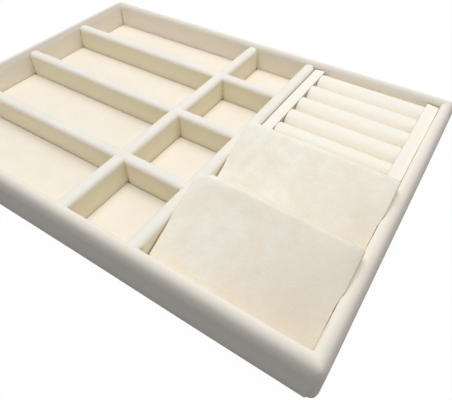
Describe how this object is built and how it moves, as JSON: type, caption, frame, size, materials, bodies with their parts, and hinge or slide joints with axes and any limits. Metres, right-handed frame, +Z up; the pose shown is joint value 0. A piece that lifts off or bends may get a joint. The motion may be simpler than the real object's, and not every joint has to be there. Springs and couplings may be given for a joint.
{
  "type": "jewelry tray",
  "caption": "Low velvet-wrapped jewelry tray with long and square compartments, a lift-out ring roll insert and sloped padded display ramps.",
  "frame": {"origin": "centre of the tray's footprint, on the surface that it stands on", "axes": "+X to the right along the tray's length, towards the bay with the insert and ramps; +Y to the back; +Z up"},
  "size_m": [0.3516, 0.2504, 0.0383],
  "materials": {
    "velvet": "matt cream velvet",
    "suede": "brushed suede-like cloth",
    "lining": "plain flat cloth",
    "fibreboard": "bare fibreboard",
    "foam": "open-cell foam",
    "card": "bare grey card"
  },
  "bodies": {
    "tray": {"base_board": "fibreboard", "bottom_lining": "lining", "bay_lining": "velvet", "front_wall_cover": "velvet", "front_wall_board": "fibreboard", "back_wall_cover": "velvet", "back_wall_board": "fibreboard", "left_wall_cover": "velvet", "left_wall_board": "fibreboard", "right_wall_cover": "velvet", "right_wall_board": "fibreboard", "left_partition_cover": "velvet", "left_partition_board": "fibreboard", "right_partition_cover": "velvet", "right_partition_board": "fibreboard", "long_divider_cover_1": "velvet", "long_divider_board_1": "fibreboard", "short_divider_cover_1": "velvet", "short_divider_board_1": "fibreboard", "long_divider_cover_2": "velvet", "long_divider_board_2": "fibreboard", "short_divider_cover_2": "velvet", "short_divider_board_2": "fibreboard", "long_divider_cover_3": "velvet", "long_divider_board_3": "fibreboard", "short_divider_cover_3": "velvet", "short_divider_board_3": "fibreboard", "long_pad_1": "velvet", "square_pad_1": "velvet", "long_pad_2": "velvet", "square_pad_2": "velvet", "long_pad_3": "velvet", "square_pad_3": "velvet", "long_pad_4": "velvet", "square_pad_4": "velvet"},
    "ring_insert": {"ring_insert_board": "fibreboard", "left_ring_rail": "velvet", "right_ring_rail": "velvet", "ring_roll_sleeve_1": "velvet", "ring_roll_core_1": "foam", "ring_roll_sleeve_2": "velvet", "ring_roll_core_2": "foam", "ring_roll_sleeve_3": "velvet", "ring_roll_core_3": "foam", "ring_roll_sleeve_4": "velvet", "ring_roll_core_4": "foam", "ring_roll_sleeve_5": "velvet", "ring_roll_core_5": "foam"},
    "front_ramp": {"front_ramp_cover": "suede", "front_ramp_core": "foam", "front_ramp_card": "card"},
    "rear_ramp": {"rear_ramp_cover": "suede", "rear_ramp_core": "foam", "rear_ramp_card": "card"}
  },
  "joints": [
    {"name": "ring_insert_lift", "type": "slide", "parent": "tray", "child": "ring_insert", "axis": [0, 0, 1], "range_m": [0, 0.04]},
    {"name": "front_ramp_lift", "type": "slide", "parent": "tray", "child": "front_ramp", "axis": [0, 0, 1], "range_m": [0, 0.04]},
    {"name": "rear_ramp_lift", "type": "slide", "parent": "tray", "child": "rear_ramp", "axis": [0, 0, 1], "range_m": [0, 0.04]}
  ]
}
